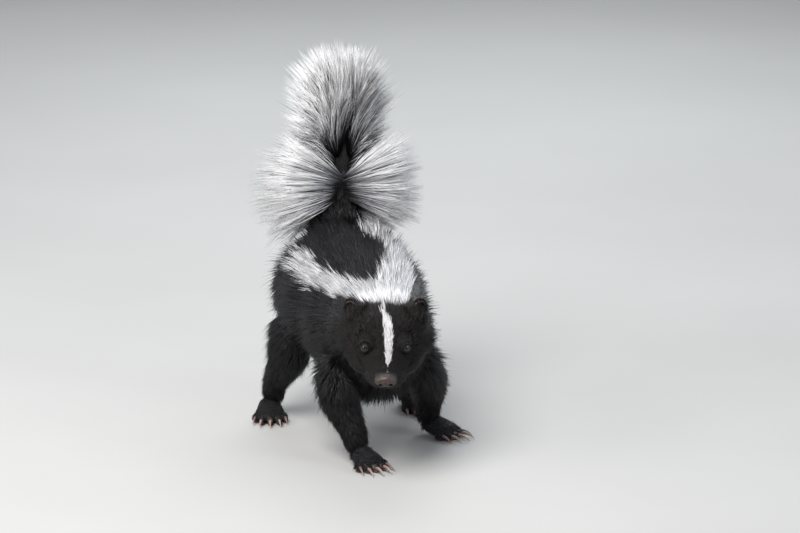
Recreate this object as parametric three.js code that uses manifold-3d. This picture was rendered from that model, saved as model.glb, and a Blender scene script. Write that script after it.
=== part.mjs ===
// A young striped skunk, life size, stepping forward with its tail raised.
// Millimetres, +Z up, floor at z = 0. The animal faces -Y and its left side is +X.
import * as THREE from "three";
import { mergeVertices } from "three/addons/utils/BufferGeometryUtils.js";
import Module from "manifold-3d";

const wasm = await Module();
wasm.setup();

// Driving dimensions.
const seam = 0.3; // clearance between neighbouring pieces
const shoulderHeight = 110; // top of the coat over the shoulder blades
const backHeight = 121; // top of the coat at mid back
const rumpHeight = 122; // top of the coat over the hips
const chestClear = 33; // floor to the brisket
const bellyClear = 35; // floor to the belly
const shoulderToHip = 102;
const noseTip = [-13.3, -66, 65.4];
const headPitch = 24; // degrees, nose down
const headTurn = -13.5; // degrees about the vertical, towards the animal's right

const coal = new THREE.MeshStandardMaterial({ color: 0x16151a, roughness: 0.85 });
const snow = new THREE.MeshStandardMaterial({ color: 0xe9e9ee, roughness: 0.8 });
const silver = new THREE.MeshStandardMaterial({ color: 0x9c9da6, roughness: 0.8 });
const noseSkin = new THREE.MeshStandardMaterial({ color: 0x5c4440, roughness: 0.45 });
const soleSkin = new THREE.MeshStandardMaterial({ color: 0x2a2224, roughness: 0.7 });
const eyeGloss = new THREE.MeshStandardMaterial({ color: 0x08070a, roughness: 0.05 });
const horn = new THREE.MeshStandardMaterial({ color: 0xb9a295, roughness: 0.5 });

// Geometry helpers.
const vec = (a) => new THREE.Vector3(...a);
const degrees = THREE.MathUtils.degToRad;

function welded(geometry) {
  geometry.deleteAttribute("normal");
  geometry.deleteAttribute("uv");
  return mergeVertices(geometry, 1e-4);
}

function toSolid(geometry) {
  return new wasm.Manifold(
    new wasm.Mesh({
      numProp: 3,
      vertProperties: new Float32Array(geometry.attributes.position.array),
      triVerts: new Uint32Array(geometry.index.array),
    }),
  );
}

// The largest closed surface of a solid, with any loose scrap and sealed hollow gone.
function mainBody(solid) {
  const bodies = solid.decompose();
  return bodies.reduce((a, b) => (b.volume() > a.volume() ? b : a));
}

function toGeometry(solid) {
  const mesh = solid.getMesh();
  const geometry = new THREE.BufferGeometry();
  geometry.setAttribute("position", new THREE.BufferAttribute(mesh.vertProperties.slice(), 3));
  geometry.setIndex(new THREE.BufferAttribute(mesh.triVerts.slice(), 1));
  geometry.computeVertexNormals();
  return geometry;
}

const joined = (solids) => wasm.Manifold.union(solids);

// The surface of a form strung on a curve. Each station gives a point and how far the form
// reaches to the side, up and down from it; both ends close in a round cap. The surface is
// asked for at t along the curve, in the direction (c, s) across it.
function surfaceOf({ stations, blunt = [0.25, 0.25], up = [0, 0, 1] }) {
  const centre = new THREE.CatmullRomCurve3(stations.map((s) => vec(s.at)));
  const reach = new THREE.CatmullRomCurve3(stations.map((s) => vec(s.reach)));
  const close = (part) => Math.sqrt(1 - (1 - Math.min(part, 1)) ** 2);
  return (t, c, s, grow = 0) => {
    const fullness = close(t / blunt[0]) * close((1 - t) / blunt[1]);
    const ahead = centre.getPoint(Math.min(t + 0.02, 1));
    const tangent = ahead.sub(centre.getPoint(Math.max(t - 0.02, 0))).normalize();
    const side = vec(up).cross(tangent).normalize();
    const top = tangent.clone().cross(side);
    const [wide, high, low] = reach.getPoint(t).toArray();
    const rise = s > 0 ? high : low;
    const outward = side.clone().multiplyScalar(c / wide).addScaledVector(top, s / rise).normalize();
    const point = centre
      .getPoint(t)
      .addScaledVector(side, c * fullness * (wide + grow))
      .addScaledVector(top, s * fullness * (rise + grow));
    return { point, tangent, outward };
  };
}

function loft({ around = 20, along = 14, grow = 0, ...form }) {
  const surface = surfaceOf(form);
  const ball = welded(new THREE.SphereGeometry(1, around, along));
  const place = ball.attributes.position;
  for (let i = 0; i < place.count; i++) {
    const [x, y, z] = [place.getX(i), place.getY(i), place.getZ(i)];
    const ringRadius = Math.hypot(x, z);
    const [c, s] = ringRadius > 1e-6 ? [x / ringRadius, z / ringRadius] : [0, 0];
    const { point, tangent } = surface((1 - y) / 2, c, s, grow);
    point.addScaledVector(tangent, -y * grow);
    place.setXYZ(i, point.x, point.y, point.z);
  }
  return ball;
}

function ellipsoid(centre, radii, turn = [0, 0, 0], around = 16, along = 10) {
  const g = welded(new THREE.SphereGeometry(1, around, along));
  g.scale(...radii);
  g.applyMatrix4(new THREE.Matrix4().makeRotationFromEuler(new THREE.Euler(...turn.map(degrees))));
  return g.translate(...centre);
}

function toFloor(geometry, level = 0) {
  const place = geometry.attributes.position;
  for (let i = 0; i < place.count; i++) place.setZ(i, Math.max(place.getZ(i), level));
  return geometry;
}

// One flat, tapered lock of hair. It leaves the root along one direction, bends towards
// another, and its flat side faces a third.
function lockOf({ root, heading, bend, face, long, wide, thick }) {
  const hair = welded(new THREE.ConeGeometry(1, 1, 4, 3));
  const place = hair.attributes.position;
  for (let i = 0; i < place.count; i++) {
    const t = place.getY(i) + 0.5;
    const ring = Math.max(1 - t, 1e-6);
    const [c, s] = [place.getX(i) / ring, place.getZ(i) / ring];
    const tangent = heading.clone().addScaledVector(bend, 2 * t).normalize();
    const side = face.clone().cross(tangent).normalize();
    const flat = side.clone().cross(tangent);
    const point = root
      .clone()
      .addScaledVector(heading, long * t)
      .addScaledVector(bend, long * t * t)
      .addScaledVector(side, (c * wide * (0.4 + 1.4 * t) * (1 - t ** 1.6)) / 2)
      .addScaledVector(flat, (s * thick * (1 - t)) / 2);
    place.setXYZ(i, point.x, point.y, point.z);
  }
  return toSolid(hair);
}

// Seeded numbers from -1 to 1, so that every run grows the same coat.
function scatterFrom(seed) {
  let state = seed;
  return () => {
    state = (state * 1664525 + 1013904223) % 4294967296;
    return state / 2147483648 - 1;
  };
}

function mesh(name, solid, material) {
  const m = new THREE.Mesh(toGeometry(mainBody(solid)), material);
  m.name = name;
  return m;
}

// Trunk: torso and neck.
const torsoStations = [
  { at: [0, -22, 74], reach: [26, 29, 31] },
  { at: [0, 4, 73], reach: [37, shoulderHeight - 73, 73 - chestClear] },
  { at: [0, 38, 76], reach: [40, 40, 41] },
  { at: [0, 72, 80], reach: [44.5, backHeight - 80, 80 - bellyClear] },
  { at: [0, shoulderToHip, 82], reach: [46, rumpHeight - 82, 43] },
  { at: [0, 124, 82], reach: [38, 33, 35] },
  { at: [0, 138, 82], reach: [26, 21, 23] },
];

const neckStations = [
  { at: [-4, -34, 86], reach: [22, 18, 17] },
  { at: [-2.5, -18, 86], reach: [27, 22, 24] },
  { at: [-1, 0, 82], reach: [31, 27, 30] },
  { at: [0, 16, 78], reach: [31, 30, 32] },
];

// Head, built in its own frame: x to its left, y back from the nose tip, z up.
const headStations = [
  { at: [0, 1.5, -0.5], reach: [6.5, 4, 4] },
  { at: [0, 6, -1], reach: [9.5, 6, 8] },
  { at: [0, 13, -1], reach: [12.5, 9, 11] },
  { at: [0, 21, -0.5], reach: [17, 12.5, 14] },
  { at: [0, 30, 0], reach: [22.5, 17, 17] },
  { at: [0, 41, 0.5], reach: [26, 20.5, 19] },
  { at: [0, 52, 0], reach: [26.5, 21.5, 19.5] },
  { at: [0, 65, 0], reach: [22, 18, 17] },
];
const jawStations = [
  { at: [0, 5.5, -8.5], reach: [5.5, 2, 3] },
  { at: [0, 12, -9.5], reach: [8.5, 3, 4.5] },
  { at: [0, 20, -10.5], reach: [11.5, 3.5, 6] },
  { at: [0, 29, -11.5], reach: [14, 3, 6.5] },
];
const headFrame = new THREE.Group();
headFrame.position.set(...noseTip);
headFrame.rotation.set(degrees(headPitch), 0, degrees(headTurn), "ZYX");
headFrame.updateMatrix();
const headInTrunk = headFrame.matrix;
const trunkInHead = headInTrunk.clone().invert();
const turned = (solid, matrix) => solid.transform(matrix.toArray());

const eyeRadius = 3.4;
const eyeSpread = 11.8; // from the middle line to the centre of an eye
const eyePlace = (side) => [side * eyeSpread, 23.5, 8.2];
const lidForm = (side) => {
  const lid = welded(new THREE.TorusGeometry(2.85, 0.8, 5, 12));
  lid.scale(1.12, 0.9, 1);
  const gaze = new THREE.Vector3(side * 0.56, -0.74, 0.38).normalize();
  lid.applyQuaternion(new THREE.Quaternion().setFromUnitVectors(new THREE.Vector3(0, 0, 1), gaze));
  const [x, y, z] = eyePlace(side);
  return lid.translate(x + gaze.x * 2.3, y + gaze.y * 2.3, z + gaze.z * 2.3);
};

const lipStations = (side) => [
  { at: [side * 1.5, 3.6, -5.6], reach: [1.2, 1.4, 1.4] },
  { at: [side * 6, 6.5, -6.6], reach: [1.4, 1.7, 1.6] },
  { at: [side * 9.8, 13, -8], reach: [1.5, 1.8, 1.6] },
  { at: [side * 12.8, 21, -9], reach: [1.3, 1.5, 1.3] },
];

const noseStations = [
  { at: [0, -2.2, 0.2], reach: [3.6, 1.8, 2] },
  { at: [0, 0, 0.3], reach: [6.2, 3.7, 3.4] },
  { at: [0, 3, 0.6], reach: [6.4, 3.8, 3.6] },
  { at: [0, 5.5, 0.8], reach: [4.6, 2.6, 2.4] },
];
const nostril = (side) =>
  ellipsoid([side * 3.4, -2.4, -0.4], [1.7, 2.4, 1.3], [0, side * 25, side * -20], 8, 5);

const earPlace = (side) => [side * 21.5, 54, 17];
const earGeometry = (side, radii, forward) => {
  const g = ellipsoid([0, -forward, 0], radii, [0, 0, 0], 12, 8);
  g.rotateX(degrees(-12));
  g.rotateZ(degrees(side * 28));
  return g.translate(...earPlace(side));
};
const earForm = (side) => toSolid(earGeometry(side, [5.8, 3.4, 6.8], 0));
const earCup = (side) => toSolid(earGeometry(side, [4.1, 2.6, 4.9], 2.8));

// Legs: each is a leg, a foot and five claws.
const legs = {
  fore_right: {
    stations: [
      { at: [-24, 6, 74], reach: [16, 19, 19] },
      { at: [-28, 7, 54], reach: [14.5, 17, 17] },
      { at: [-26, 1, 36], reach: [12.5, 14, 14] },
      { at: [-21, -10, 20], reach: [11, 12, 12] },
      { at: [-18.5, -17, 5], reach: [9.5, 11, 11] },
    ],
    foot: { heel: [-19.5, -12], heading: 14, long: 30, wide: 9.5, high: 9.5 },
    claw: 8,
  },
  fore_left: {
    stations: [
      { at: [24, 6, 74], reach: [16, 19, 19] },
      { at: [30, 14, 54], reach: [14.5, 17, 17] },
      { at: [36, 24, 36], reach: [12.5, 14, 14] },
      { at: [38, 31, 20], reach: [11, 12, 12] },
      { at: [38, 33, 5], reach: [9.5, 11, 11] },
    ],
    foot: { heel: [36, 38], heading: 38, long: 30, wide: 9.5, high: 9.5 },
    claw: 8,
  },
  hind_right: {
    stations: [
      { at: [-24, 104, 80], reach: [21, 27, 27] },
      { at: [-32, 96, 58], reach: [18, 24, 24] },
      { at: [-39, 91, 40], reach: [13, 17, 17] },
      { at: [-45, 99, 22], reach: [10.5, 12, 12] },
      { at: [-47, 102, 5], reach: [9.5, 11, 11] },
    ],
    foot: { heel: [-47, 109], heading: -12, long: 38, wide: 9.5, high: 9 },
    claw: 5,
  },
  hind_left: {
    stations: [
      { at: [24, 102, 80], reach: [21, 27, 27] },
      { at: [32, 95, 58], reach: [18, 24, 24] },
      { at: [38, 89, 40], reach: [13, 17, 17] },
      { at: [41, 97, 22], reach: [10.5, 12, 12] },
      { at: [41, 100, 5], reach: [9.5, 11, 11] },
    ],
    foot: { heel: [41, 107], heading: 8, long: 38, wide: 9.5, high: 9 },
    claw: 5,
  },
};

// A foot lies along its own -y from the heel, and its heading turns it about the vertical.
function footFrame({ heel, heading }) {
  const [x, y] = heel;
  return new THREE.Matrix4().makeRotationZ(degrees(heading)).setPosition(x, y, 0);
}

const toeSpread = [-0.78, -0.42, 0, 0.42, 0.78]; // across the foot, as a share of its half width
const toeReach = [0.8, 0.96, 1, 0.96, 0.8]; // how far forward each toe ends, as a share of the foot
const toeFan = 17; // degrees that an outer toe turns outwards
const pad = 1.3; // how far the sole is pressed flat on the floor

function footParts({ foot, claw }, grow) {
  const { long, wide, high } = foot;
  const sole = loft({
    stations: [
      { at: [0, 0, high * 0.5], reach: [wide * 0.72, high * 0.6, high * 0.5 + pad] },
      { at: [0, -long * 0.3, high * 0.62], reach: [wide * 0.86, high * 0.75, high * 0.62 + pad] },
      { at: [0, -long * 0.62, high * 0.5], reach: [wide, high * 0.5, high * 0.5 + pad] },
      { at: [0, -long * 0.85, high * 0.36], reach: [wide * 0.8, high * 0.34, high * 0.36 + pad] },
    ],
    around: 10,
    along: 6,
    blunt: [0.3, 0.4],
    grow,
  });
  // A point on a toe's line, d from the knuckle, at height z.
  const aim = (across, d, z) => {
    const fan = degrees(toeFan * across);
    return [across * wide + Math.sin(fan) * d, -long * 0.55 - Math.cos(fan) * d, z];
  };
  const toes = toeSpread.map((across, i) => {
    const tip = long * (toeReach[i] - 0.55);
    const stations = [
      { at: aim(across, 0, 3.4), reach: [2.2, 2.6, 3.9] },
      { at: aim(across, tip * 0.6, 3), reach: [2.3, 2.3, 3.6] },
      { at: aim(across, tip, 2.2), reach: [1.9, 1.9, 2.8] },
    ];
    return loft({ stations, around: 6, along: 4, blunt: [0.3, 0.4], grow });
  });
  const nails = toeSpread.map((across, i) => {
    const tip = long * (toeReach[i] - 0.55);
    const stations = [
      { at: aim(across, tip - 1.6, 3.1), reach: [1.1, 1.2, 1.2] },
      { at: aim(across, tip + claw * 0.45, 3.5), reach: [0.85, 1, 1] },
      { at: aim(across, tip + claw, 1.1), reach: [0.32, 0.32, 0.32] },
    ];
    return loft({ stations, around: 5, along: 4, blunt: [0.2, 0.1], grow });
  });
  return { sole, toes, nails };
}

// Coat of the torso: rows of locks lying back, each row from one side over the back to the other.
const coatRise = 3.5; // the torso under the locks is this much inside the coat's outline
const coatRows = [
  { t: 0.15, count: 9, long: 31, rise: 15 },
  { t: 0.28, count: 10, long: 35, rise: 21 },
  { t: 0.42, count: 11, long: 37, rise: 24 },
  { t: 0.56, count: 11, long: 37, rise: 26 },
  { t: 0.69, count: 11, long: 35, rise: 26 },
  { t: 0.81, count: 9, long: 25, rise: 27 },
];
const coatSpread = 118; // degrees each side of the middle of the back
const coatLock = { wide: 18, thick: 3.4, curl: 0.22 };

// Tail: a stem out of the rump, a core on it and rows of long locks that fan from the core.
const tailStations = [
  { at: [1, 110, 92], reach: [16, 15, 15] },
  { at: [1, 122, 108], reach: [18, 16, 16] },
  { at: [2, 128, 120], reach: [17, 14, 14] },
  { at: [3, 131, 133], reach: [14, 11, 11] },
];
const coreStations = [
  { at: [3, 130, 124], reach: [13, 10, 10] },
  { at: [4, 132, 140], reach: [20, 13, 13] },
  { at: [6, 131, 160], reach: [17, 12, 12] },
  { at: [7, 128, 181], reach: [13, 10, 10] },
  { at: [8, 125, 200], reach: [8, 7, 7] },
];
const tailRows = [
  { t: 0.17, tilt: -20, count: 12, long: 48, parting: 62 },
  { t: 0.27, tilt: -4, count: 12, long: 53, parting: 62 },
  { t: 0.37, tilt: 13, count: 12, long: 55, parting: 62 },
  { t: 0.47, tilt: 30, count: 11, long: 52, parting: 62 },
  { t: 0.59, tilt: 41, count: 10, long: 48, parting: 30 },
  { t: 0.71, tilt: 53, count: 9, long: 54, parting: 10 },
  { t: 0.82, tilt: 67, count: 7, long: 52, parting: 0 },
  { t: 0.9, tilt: 82, count: 4, long: 49, parting: 0 },
]; // parting: degrees of the front that carry no locks
const tailDepth = 0.62; // how far the plume reaches to the front and back, as a share of its sides
const frontLift = 0.7; // how far locks in front of the upper tail turn from their tilt to upright
const tailLock = { wide: 16, thick: 3.4 };

// Solids of the trunk and head are cut apart by thin flat slabs.
function slab(centre, turn, size) {
  const g = welded(new THREE.BoxGeometry(size[0], size[1], size[2]));
  g.applyMatrix4(new THREE.Matrix4().makeRotationFromEuler(new THREE.Euler(...turn.map(degrees))));
  return toSolid(g.translate(...centre));
}

const torsoShape = { stations: torsoStations, blunt: [0.16, 0.16] };
function trunkForm(grow) {
  const skull = loft({ stations: headStations, around: 22, along: 15, blunt: [0.12, 0.22], grow });
  const torso = loft({ ...torsoShape, around: 22, along: 14, grow: grow - coatRise });
  const neck = loft({ stations: neckStations, around: 20, along: 9, blunt: [0.2, 0.3], grow });
  return joined([toSolid(torso), toSolid(neck), turned(toSolid(skull), headInTrunk)]);
}
const behindEars = slab([0, -17, 86], [-4, 0, headTurn * 0.4], [90, seam, 74]);
const atWithers = slab([0, -7, 82], [-22, 0, 0], [110, seam, 84]);
const lengths = trunkForm(0)
  .subtract(behindEars)
  .subtract(atWithers)
  .decompose()
  .sort((a, b) => b.volume() - a.volume())
  .slice(0, 3)
  .sort((a, b) => a.boundingBox().min[1] - b.boundingBox().min[1]);

const legNames = Object.keys(legs);
const upright = { up: [0, -1, 0] };
const legShape = { ...upright, blunt: [0.25, 0.12], around: 14, along: 9 };
const legForm = (name, grow) =>
  toSolid(toFloor(loft({ ...legShape, stations: legs[name].stations, grow }), 1 - grow));
const tailForm = (grow) =>
  toSolid(loft({ ...upright, stations: tailStations, around: 14, along: 8, grow }));

function coatLocks() {
  const surface = surfaceOf(torsoShape);
  const scatter = scatterFrom(11);
  return coatRows.flatMap(({ t, count, long, rise }, row) =>
    Array.from({ length: count }, (_, i) => {
      const share = ((i + (row % 2 ? 0.75 : 0.25)) / count) * 2 - 1;
      const angle = degrees(90 + coatSpread * share + scatter() * 3);
      const [c, s] = [Math.cos(angle), Math.sin(angle)];
      const start = t + scatter() * 0.02;
      const { point, outward } = surface(start, c, s, -coatRise - 4);
      const lie = surface(start + 0.05, c, s).point.sub(surface(start - 0.05, c, s).point).normalize();
      lie.addScaledVector(vec([0, 0, -1]), 0.3 * Math.abs(share) + scatter() * 0.08).normalize();
      const lift = degrees(rise + scatter() * 4);
      const heading = lie.clone().multiplyScalar(Math.cos(lift)).addScaledVector(outward, Math.sin(lift));
      return lockOf({
        root: point,
        heading,
        bend: outward.clone().multiplyScalar(-coatLock.curl),
        face: outward,
        long: long * (1 + scatter() * 0.1),
        wide: coatLock.wide,
        thick: coatLock.thick,
      });
    }),
  );
}

function tailLocks() {
  const core = surfaceOf({ ...upright, stations: coreStations });
  const scatter = scatterFrom(5);
  return tailRows.flatMap(({ t, tilt, count, long, parting }, row) =>
    Array.from({ length: count }, (_, i) => {
      const share = (i + (row % 2 ? 0.75 : 0.25)) / count;
      const turn = degrees(-90 + parting / 2 + (360 - parting) * share + scatter() * 4);
      const outward = vec([Math.cos(turn), Math.sin(turn) * tailDepth, 0]);
      const { point } = core(t, 0, 0);
      const facing = Math.max(0, -Math.sin(turn) - 0.5) * 2;
      const lift = t > 0.5 ? frontLift * facing * (85 - tilt) : 0;
      const rise = degrees(tilt + lift + scatter() * 6);
      const heading = outward.clone().multiplyScalar(Math.cos(rise)).add(vec([0, 0, Math.sin(rise)]));
      const across = vec([-Math.sin(turn), Math.cos(turn), 0]);
      return lockOf({
        root: point.addScaledVector(outward, 4),
        heading,
        bend: vec([0, 0, -0.1 + scatter() * 0.05]).addScaledVector(across, scatter() * 0.08),
        face: across.add(vec([0, 0, i % 2 ? 0.9 : -0.9])),
        long: long * (1 + scatter() * 0.09),
        wide: tailLock.wide,
        thick: tailLock.thick,
      });
    }),
  );
}

const skunk = new THREE.Group();

const head = new THREE.Group();
head.position.copy(headFrame.position);
head.rotation.copy(headFrame.rotation);
skunk.add(head);

const eyeBall = (side, grow) => {
  const radius = eyeRadius + grow;
  return toSolid(ellipsoid(eyePlace(side), [radius, radius, radius], [0, 0, 0], 12, 8));
};
const sides = { left: 1, right: -1 };
let skull = turned(lengths[0], trunkInHead);
for (const side of [1, -1]) {
  const lip = loft({ stations: lipStations(side), around: 6, along: 6 });
  skull = joined([skull, toSolid(lidForm(side)), toSolid(lip)]);
}
for (const side of [1, -1]) skull = skull.subtract(eyeBall(side, seam));
skull = skull.subtract(toSolid(loft({ stations: jawStations, around: 12, along: 8, grow: seam })));
skull = skull.subtract(toSolid(loft({ stations: noseStations, around: 14, along: 8, grow: seam })));
head.add(mesh("head", skull, coal));
head.add(mesh("lower_jaw", toSolid(loft({ stations: jawStations, around: 12, along: 8 })), coal));

const nose = [1, -1].reduce(
  (pad, side) => pad.subtract(toSolid(nostril(side))),
  toSolid(loft({ stations: noseStations, around: 14, along: 8 })),
);
head.add(mesh("nose", nose, noseSkin));

const skullGap = turned(trunkForm(seam), trunkInHead);
for (const [word, side] of Object.entries(sides)) {
  head.add(mesh(`eye_${word}`, eyeBall(side, 0), eyeGloss));
  head.add(mesh(`ear_${word}`, earForm(side).subtract(earCup(side)).subtract(skullGap), coal));
}

skunk.add(mesh("neck", lengths[1], snow));

let torso = joined([lengths[2], ...coatLocks()]).subtract(tailForm(seam)).subtract(lengths[1]);
for (const name of legNames) torso = torso.subtract(legForm(name, seam));
skunk.add(mesh("torso", torso, coal));

for (const name of legNames) {
  const frame = footFrame(legs[name].foot).toArray();
  const { sole, toes, nails } = footParts(legs[name], 0);
  const grown = footParts(legs[name], seam);
  const leg = new THREE.Group();
  skunk.add(leg);
  let foot = joined([sole, ...toes].map((g) => toSolid(toFloor(g))));
  for (const nail of grown.nails) foot = foot.subtract(toSolid(nail));
  leg.add(mesh(`${name}_foot`, foot.transform(frame), soleSkin));
  const footRoom = joined([grown.sole, ...grown.toes].map(toSolid)).transform(frame);
  const shank = legForm(name, 0).subtract(footRoom);
  leg.add(mesh(`${name}_leg`, shank, coal));
  nails.forEach((nail, i) => leg.add(mesh(`${name}_claw_${i + 1}`, toSolid(nail).transform(frame), horn)));
}

skunk.add(mesh("tail_stem", tailForm(0), coal));
const core = toSolid(loft({ ...upright, stations: coreStations, around: 12, along: 9 }));
const rumpRoom = toSolid(loft({ ...torsoShape, around: 16, along: 10, grow: 6 }));
const plume = joined([core, ...tailLocks()]).subtract(tailForm(seam)).subtract(rumpRoom);
skunk.add(mesh("tail_plume", plume, silver));

// Stand the model on the middle of its own footprint.
const reach = new THREE.Box3().setFromObject(skunk, true);
const middle = reach.getCenter(new THREE.Vector3());
skunk.position.set(-middle.x, -middle.y, -reach.min.z);

export default skunk;
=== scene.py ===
# A young striped skunk stepping forward with its plumed tail raised.
# Shapes are worked out in millimetres with the origin on the floor under the shoulders,
# the animal facing -Y and its left side at +X, and are moved into the frame at the end.
import math
import bpy
import bmesh
import numpy as np
from mathutils import Matrix, Vector
from mathutils.bvhtree import BVHTree
from mathutils.kdtree import KDTree


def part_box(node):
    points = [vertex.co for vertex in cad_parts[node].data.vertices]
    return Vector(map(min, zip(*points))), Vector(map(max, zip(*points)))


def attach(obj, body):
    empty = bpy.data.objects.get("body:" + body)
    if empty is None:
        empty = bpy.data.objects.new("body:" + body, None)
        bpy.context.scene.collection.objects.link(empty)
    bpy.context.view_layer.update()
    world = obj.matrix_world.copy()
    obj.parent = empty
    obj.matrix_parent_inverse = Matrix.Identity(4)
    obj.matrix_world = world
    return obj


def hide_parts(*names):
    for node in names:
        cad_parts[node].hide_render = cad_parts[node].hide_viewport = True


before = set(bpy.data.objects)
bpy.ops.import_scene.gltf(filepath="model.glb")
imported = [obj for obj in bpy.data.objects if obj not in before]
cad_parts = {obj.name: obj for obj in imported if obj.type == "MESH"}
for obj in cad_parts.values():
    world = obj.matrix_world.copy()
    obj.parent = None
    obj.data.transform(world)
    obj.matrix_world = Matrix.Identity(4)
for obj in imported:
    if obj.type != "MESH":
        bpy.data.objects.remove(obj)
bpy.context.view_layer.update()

rng = np.random.default_rng(7)
mm = 0.001
backward, upward = np.eye(3)[1:]

headPose = {"noseTip": (-13.3, -66, 65.4), "pitch": 24, "turn": -13.5}
eyeShape = {"radius": 3.4, "at": (11.8, 23.5, 8.2), "gaze": (0.56, -0.74, 0.38)}

headMatrix = (
    Matrix.Translation(headPose["noseTip"])
    @ Matrix.Rotation(math.radians(headPose["turn"]), 4, "Z")
    @ Matrix.Rotation(math.radians(headPose["pitch"]), 4, "X")
)
headTurn = np.array(headMatrix.to_3x3())
headAt = np.array(headPose["noseTip"], float)
eyeLow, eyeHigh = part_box("eye_left")
shift = np.array((eyeLow + eyeHigh) / 2) / mm - (headTurn @ np.array(eyeShape["at"]) + headAt)
intoFrame = Matrix.Scale(mm, 4) @ Matrix.Translation(shift.tolist())


def unit(v):
    return v / np.maximum(np.linalg.norm(v, axis=-1, keepdims=True), 1e-9)


def smoothStep(low, high, x):
    t = np.clip((x - low) / (high - low), 0, 1)
    return t * t * (3 - 2 * t)


def wander(p, scale, seed=0):
    # slow change over space, from -1 to 1
    q = p / scale + seed * 3.7
    a = np.sin(q[:, 0] * 1.0 + 1.3 * np.sin(q[:, 1] * 0.9 + 0.5))
    b = np.sin(q[:, 1] * 1.1 + 1.7 * np.sin(q[:, 2] * 0.8))
    c = np.sin(q[:, 2] * 1.2 + 1.1 * np.sin(q[:, 0] * 1.1 + 2.0))
    return (a + b + c) / 3


# forms strung on curves, the same ones as the solids
def curvePoint(points, t):
    # a centripetal curve through the points, for many t at once
    points = np.asarray(points, float)
    last = len(points) - 1
    t = np.atleast_1d(t)
    spot = np.clip(t, 0, 1) * last
    i = np.minimum(spot.astype(int), last - 1)
    w = (spot - i)[:, None]
    ends = np.vstack([2 * points[0] - points[1], points, 2 * points[-1] - points[-2]])
    p0, p1, p2, p3 = ends[i], ends[i + 1], ends[i + 2], ends[i + 3]
    spans = ((p0, p1), (p1, p2), (p2, p3))
    d0, d1, d2 = (np.maximum(((b - a) ** 2).sum(1) ** 0.25, 1e-4)[:, None] for a, b in spans)
    m1 = ((p1 - p0) / d0 - (p2 - p0) / (d0 + d1) + (p2 - p1) / d1) * d1
    m2 = ((p2 - p1) / d1 - (p3 - p1) / (d1 + d2) + (p3 - p2) / d2) * d1
    return p1 + m1 * w + (-3 * p1 + 3 * p2 - 2 * m1 - m2) * w**2 + (2 * p1 - 2 * p2 + m1 + m2) * w**3


def surfaceAt(form, t, c, s, grow=0.0):
    # points at t along a form in the direction (c, s) across it, and the form's direction there
    centres = [station[0] for station in form["stations"]]
    reaches = [station[1] for station in form["stations"]]
    blunt = form.get("blunt", (0.25, 0.25))
    close = lambda part: np.sqrt(np.maximum(1 - (1 - np.minimum(part, 1)) ** 2, 0))
    fullness = close(t / blunt[0]) * close((1 - t) / blunt[1])
    tangent = unit(curvePoint(centres, np.minimum(t + 0.02, 1)) - curvePoint(centres, np.maximum(t - 0.02, 0)))
    side = unit(np.cross(form.get("up", (0, 0, 1)), tangent))
    top = np.cross(tangent, side)
    reach = curvePoint(reaches, t)
    rise = np.where(s > 0, reach[:, 1], reach[:, 2])
    point = curvePoint(centres, t) + side * (c * fullness * (reach[:, 0] + grow))[:, None]
    return point + top * (s * fullness * (rise + grow))[:, None], tangent


def addForm(bm, form, around, along, grow=0.0, matrix=Matrix()):
    made = bmesh.ops.create_uvsphere(bm, u_segments=around, v_segments=along, radius=1)["verts"]
    co = np.array([v.co[:] for v in made])
    ring = np.hypot(co[:, 0], co[:, 1])
    c, s = np.where(ring > 1e-5, co[:, :2].T / np.maximum(ring, 1e-5), 0)
    t = (1 - co[:, 2]) / 2
    extra = grow(t) if callable(grow) else np.full(len(t), float(grow))
    point, tangent = surfaceAt(form, t, c, s, extra)
    point = point - tangent * (co[:, 2] * extra)[:, None]
    for v, p in zip(made, point):
        v.co = matrix @ Vector(p)
    return made


def addBall(bm, centre, radii, matrix, around=32, along=20):
    for v in bmesh.ops.create_uvsphere(bm, u_segments=around, v_segments=along, radius=1)["verts"]:
        v.co = matrix @ (Vector([a * b for a, b in zip(v.co, radii)]) + Vector(centre))


def addTube(bm, points, radii, around, matrix):
    form = {"stations": [(p, (r, r, r)) for p, r in zip(points, radii)], "blunt": (0.08, 0.04)}
    addForm(bm, {**form, "up": (0.21, 0.13, 0.97)}, around, 18, 0.0, matrix)


def meshFrom(bm, name):
    bmesh.ops.recalc_face_normals(bm, faces=bm.faces)
    for face in bm.faces:
        face.smooth = True
    mesh = bpy.data.meshes.new(name)
    bm.to_mesh(mesh)
    bm.free()
    return mesh


def addObject(name, data):
    made = bpy.data.objects.new(name, data)
    bpy.context.scene.collection.objects.link(made)
    return made


def finishPiece(name, mesh, material, nodes):
    mesh.transform(intoFrame)
    mesh.update()
    piece = addObject(name, mesh)
    mesh.materials.clear()
    mesh.materials.append(material)
    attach(piece, "root")
    if nodes:
        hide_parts(*nodes)


def relaxedSkin(bm, name, voxel, rounds):
    # one closed skin over forms that run into each other
    mesh = meshFrom(bm, name)
    helper = addObject(name + "_form", mesh)
    wrap = helper.modifiers.new("wrap", "REMESH")
    wrap.mode = "VOXEL"
    wrap.voxel_size = voxel
    wrap.use_smooth_shade = True
    relax = helper.modifiers.new("relax", "SMOOTH")
    relax.factor = 0.5
    relax.iterations = rounds
    bpy.context.view_layer.update()
    skin = bpy.data.meshes.new_from_object(helper.evaluated_get(bpy.context.evaluated_depsgraph_get()))
    bpy.data.objects.remove(helper)
    skin.name = name
    return skin


def readAll(items, key, wide, kind=float):
    values = np.empty(len(items) * wide, kind)
    items.foreach_get(key, values)
    return values.reshape(-1, wide)


def coordsOf(mesh):
    return readAll(mesh.vertices, "co", 3)


def pointValues(mesh, name, values):
    layer = mesh.attributes.new(name, "FLOAT", "POINT")
    layer.data.foreach_set("value", np.asarray(values, np.float32))


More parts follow.
